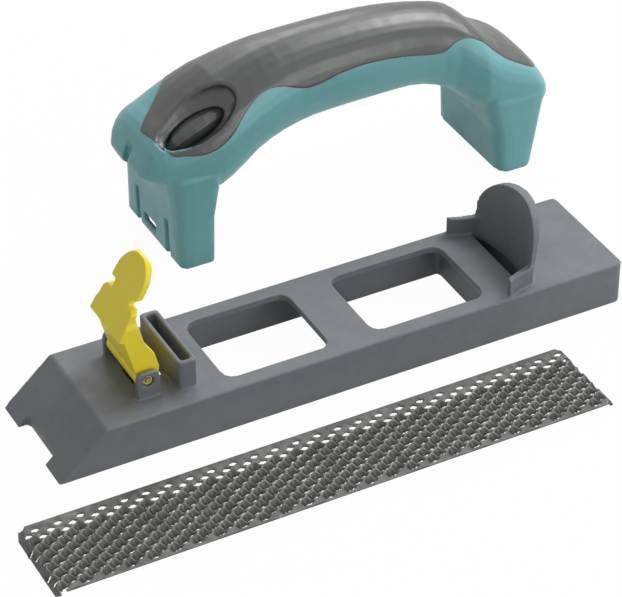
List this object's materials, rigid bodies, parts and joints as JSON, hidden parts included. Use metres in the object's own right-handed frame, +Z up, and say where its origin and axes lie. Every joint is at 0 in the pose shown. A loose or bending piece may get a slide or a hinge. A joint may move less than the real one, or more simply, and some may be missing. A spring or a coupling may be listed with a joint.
{
  "type": "rasp plane",
  "caption": "Hand rasp plane laid out in pieces: grooved shoe with tension lever and tongue, lift-off bow handle with soft grip and thumb button, and perforated rasp blade.",
  "frame": {"origin": "middle of the cross rib on the base's sole, under the web between its two windows", "axes": "+X along the tool from its sloped nose to its rear, +Y towards the handle standing behind the base, +Z up"},
  "size_m": [0.3265, 0.2302, 0.0867],
  "materials": {
    "base_grey": "satin moulded",
    "lever_yellow": "satin moulded",
    "handle_teal": "satin moulded",
    "grip_black": "soft satin",
    "button_black": "satin moulded",
    "blade_steel": "dark tempered",
    "dark_steel": "dull",
    "bright_steel": "bright"
  },
  "bodies": {
    "base": {"base_body": "base_grey", "lever_pin": "bright_steel", "rear_anchor_plate": "dark_steel", "anchor_screw_near": "bright_steel", "anchor_screw_far": "bright_steel"},
    "lever": {"tension_lever": "lever_yellow", "hook_pin": "bright_steel"},
    "hook": {"tension_hook": "dark_steel"},
    "blade": {"rasp_blade": "blade_steel"},
    "handle": {"handle_body": "handle_teal", "soft_grip": "grip_black", "button_spring": "bright_steel"},
    "button": {"release_button": "button_black"}
  },
  "joints": [
    {"name": "lever_hinge", "type": "hinge", "parent": "base", "child": "lever", "pos_m": [-0.0974, 0, 0.0284], "axis": [0, 1, 0], "range_deg": [-40, 4]},
    {"name": "hook_slide", "type": "slide", "parent": "base", "child": "hook", "axis": [1, 0, 0], "range_m": [-0.0006, 0.006]},
    {"name": "blade_lift", "type": "slide", "parent": "base", "child": "blade", "axis": [0, 0, 1], "range_m": [0, 0.15]},
    {"name": "handle_lift", "type": "slide", "parent": "base", "child": "handle", "axis": [0, 0, 1], "range_m": [0, 0.15]},
    {"name": "button_press", "type": "slide", "parent": "handle", "child": "button", "axis": [0.3372, 0.5592, -0.7573], "range_m": [0, 0.002], "stiffness_N_per_m": 600, "deforming": ["button_spring"]}
  ],
  "couplings": [
    {"joint": "hook_slide", "follows": "lever_hinge", "m_per_rad": -0.0085}
  ]
}
